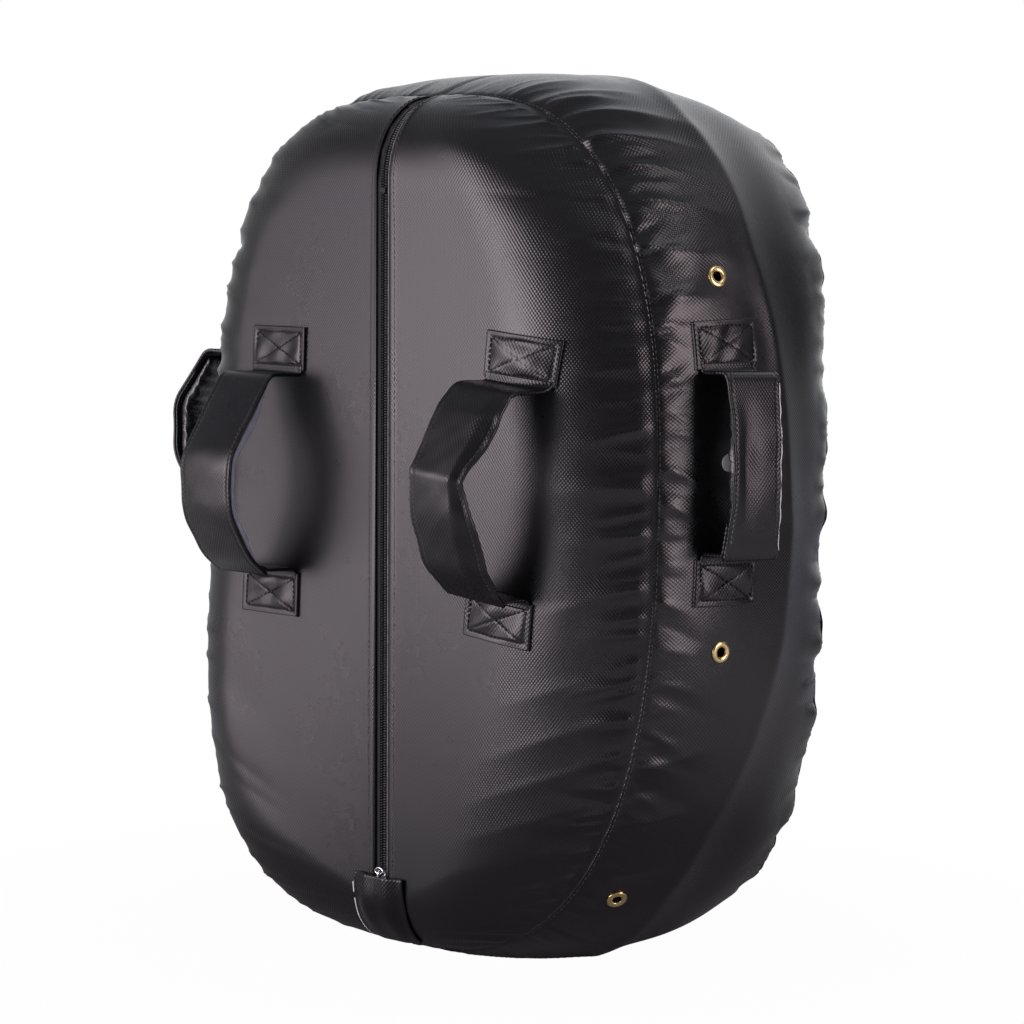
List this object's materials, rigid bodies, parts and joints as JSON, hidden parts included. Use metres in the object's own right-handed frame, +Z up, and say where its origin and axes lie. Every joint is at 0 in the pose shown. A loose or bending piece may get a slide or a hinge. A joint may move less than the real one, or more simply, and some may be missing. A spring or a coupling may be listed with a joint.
{
  "type": "kick shield",
  "caption": "Boxed foam kick shield in black vinyl with a zipped domed back, padded strap handles on the back and sides, and brass vent eyelets.",
  "frame": {"origin": "middle of the flat it stands on, under the middle of the gusset's depth", "axes": "+Z up, X across the shield, -Y out of the zipped back on the holder's side, +Y out of the strike face"},
  "size_m": [0.5532, 0.3064, 0.6029],
  "materials": {
    "vinyl": "semi-gloss coated fabric with a fine diamond emboss",
    "zip_coil": "black nylon coil",
    "zip_tape": "black woven tape",
    "firm_foam": "closed-cell foam, not seen",
    "soft_foam": "open-cell foam, not seen",
    "brass": "bright rolled brass",
    "nickel": "nickel plate",
    "rivet": "plain light grey cap"
  },
  "bodies": {
    "shell": {"back_foam": "soft_foam", "back_panel_left": "vinyl", "back_panel_right": "vinyl", "cap_rivet_left": "rivet", "cap_rivet_right": "rivet", "core_foam": "soft_foam", "eyelet_corner_left": "brass", "eyelet_corner_right": "brass", "eyelet_lower_left": "brass", "eyelet_lower_right": "brass", "eyelet_upper_left": "brass", "eyelet_upper_right": "brass", "gusset": "vinyl", "handle_back_left_lower_end": "vinyl", "handle_back_left_upper_end": "vinyl", "handle_back_right_lower_end": "vinyl", "handle_back_right_upper_end": "vinyl", "handle_side_left_lower_end": "vinyl", "handle_side_left_upper_end": "vinyl", "handle_side_right_lower_end": "vinyl", "handle_side_right_upper_end": "vinyl", "strike_foam": "firm_foam", "strike_panel": "vinyl", "washer_corner_left": "brass", "washer_corner_right": "brass", "washer_lower_left": "brass", "washer_lower_right": "brass", "washer_rivet_left": "brass", "washer_rivet_right": "brass", "washer_upper_left": "brass", "washer_upper_right": "brass", "zip_bottom_stop": "nickel", "zip_coil_left": "zip_coil", "zip_coil_right": "zip_coil", "zip_tape_left": "zip_tape", "zip_tape_right": "zip_tape", "zip_top_stop": "nickel"},
    "zip_slider": {"zip_slider": "nickel"},
    "zip_pull_ring": {"zip_pull_ring": "nickel"},
    "zip_garage_flap": {"zip_garage_flap": "vinyl"},
    "handle_back_left_upper_leg": {"handle_back_left_upper_leg": "vinyl"},
    "handle_back_left_grip": {"handle_back_left_grip": "vinyl", "handle_back_left_pad": "firm_foam"},
    "handle_back_left_lower_leg": {"handle_back_left_lower_leg": "vinyl"},
    "handle_back_right_upper_leg": {"handle_back_right_upper_leg": "vinyl"},
    "handle_back_right_grip": {"handle_back_right_grip": "vinyl", "handle_back_right_pad": "firm_foam"},
    "handle_back_right_lower_leg": {"handle_back_right_lower_leg": "vinyl"},
    "handle_side_left_upper_leg": {"handle_side_left_upper_leg": "vinyl"},
    "handle_side_left_grip": {"handle_side_left_grip": "vinyl", "handle_side_left_pad": "firm_foam"},
    "handle_side_left_lower_leg": {"handle_side_left_lower_leg": "vinyl"},
    "handle_side_right_upper_leg": {"handle_side_right_upper_leg": "vinyl"},
    "handle_side_right_grip": {"handle_side_right_grip": "vinyl", "handle_side_right_pad": "firm_foam"},
    "handle_side_right_lower_leg": {"handle_side_right_lower_leg": "vinyl"}
  },
  "joints": [
    {"name": "zip_slide", "type": "slide", "parent": "shell", "child": "zip_slider", "axis": [0, -0.034, 0.9994], "range_m": [0, 0.455]},
    {"name": "pull_ring_swing", "type": "hinge", "parent": "zip_slider", "child": "zip_pull_ring", "pos_m": [0, -0.12465, 0.05474], "axis": [1, 0, 0], "range_deg": [0, 95]},
    {"name": "garage_flap_lift", "type": "hinge", "parent": "shell", "child": "zip_garage_flap", "pos_m": [0, -0.09878, 0.00504], "axis": [1, 0, 0], "range_deg": [0, 38], "stiffness_Nm_per_rad": 0.05, "springref_deg": -8.59},
    {"name": "back_left_fold", "type": "hinge", "parent": "shell", "child": "handle_back_left_upper_leg", "pos_m": [-0.10703, -0.13223, 0.39102], "axis": [0.9999, -0.0125, -0.0074], "range_deg": [-35, 35], "stiffness_Nm_per_rad": 0.6},
    {"name": "back_left_grip_fold", "type": "hinge", "parent": "handle_back_left_upper_leg", "child": "handle_back_left_grip", "pos_m": [-0.10737, -0.16023, 0.39127], "axis": [0.9999, -0.0125, -0.0074], "range_deg": [-36, 36]},
    {"name": "back_left_lower_fold", "type": "hinge", "parent": "shell", "child": "handle_back_left_lower_leg", "pos_m": [-0.10803, -0.13343, 0.25702], "axis": [0.9999, -0.0125, -0.0074], "range_deg": [-36, 36]},
    {"name": "back_right_fold", "type": "hinge", "parent": "shell", "child": "handle_back_right_upper_leg", "pos_m": [0.124, -0.13573, 0.39095], "axis": [0.9946, 0.0035, -0.1038], "range_deg": [-35, 35], "stiffness_Nm_per_rad": 0.6},
    {"name": "back_right_grip_fold", "type": "hinge", "parent": "handle_back_right_upper_leg", "child": "handle_back_right_grip", "pos_m": [0.124, -0.16371, 0.39], "axis": [0.9946, 0.0035, -0.1038], "range_deg": [-36, 36]},
    {"name": "back_right_lower_fold", "type": "hinge", "parent": "shell", "child": "handle_back_right_lower_leg", "pos_m": [0.11, -0.13118, 0.25695], "axis": [0.9946, 0.0035, -0.1038], "range_deg": [-36, 36]},
    {"name": "side_left_fold", "type": "hinge", "parent": "shell", "child": "handle_side_left_upper_leg", "pos_m": [-0.22165, -0.03656, 0.40261], "axis": [0.1635, -0.9865, -0.0032], "range_deg": [-35, 35], "stiffness_Nm_per_rad": 0.6},
    {"name": "side_left_grip_fold", "type": "hinge", "parent": "handle_side_left_upper_leg", "child": "handle_side_left_grip", "pos_m": [-0.26504, -0.04376, 0.40346], "axis": [0.1635, -0.9865, -0.0032], "range_deg": [-36, 36]},
    {"name": "side_left_lower_fold", "type": "hinge", "parent": "shell", "child": "handle_side_left_lower_leg", "pos_m": [-0.22389, -0.03656, 0.28854], "axis": [0.1635, -0.9865, -0.0032], "range_deg": [-36, 36]},
    {"name": "side_right_fold", "type": "hinge", "parent": "shell", "child": "handle_side_right_upper_leg", "pos_m": [0.21977, -0.03656, 0.40353], "axis": [0.1661, 0.9861, 0.0059], "range_deg": [-35, 35], "stiffness_Nm_per_rad": 0.6},
    {"name": "side_right_grip_fold", "type": "hinge", "parent": "handle_side_right_upper_leg", "child": "handle_side_right_grip", "pos_m": [0.24145, -0.04022, 0.4043], "axis": [0.1661, 0.9861, 0.0059], "range_deg": [-36, 36]},
    {"name": "side_right_lower_fold", "type": "hinge", "parent": "shell", "child": "handle_side_right_lower_leg", "pos_m": [0.22388, -0.03656, 0.28757], "axis": [0.1661, 0.9861, 0.0059], "range_deg": [-36, 36]}
  ],
  "couplings": [
    {"joint": "back_left_grip_fold", "follows": "back_left_fold", "ratio": -1},
    {"joint": "back_left_lower_fold", "follows": "back_left_fold", "ratio": 1},
    {"joint": "back_right_grip_fold", "follows": "back_right_fold", "ratio": -1},
    {"joint": "back_right_lower_fold", "follows": "back_right_fold", "ratio": 1},
    {"joint": "side_left_grip_fold", "follows": "side_left_fold", "ratio": -1},
    {"joint": "side_left_lower_fold", "follows": "side_left_fold", "ratio": 1},
    {"joint": "side_right_grip_fold", "follows": "side_right_fold", "ratio": -1},
    {"joint": "side_right_lower_fold", "follows": "side_right_fold", "ratio": 1}
  ]
}
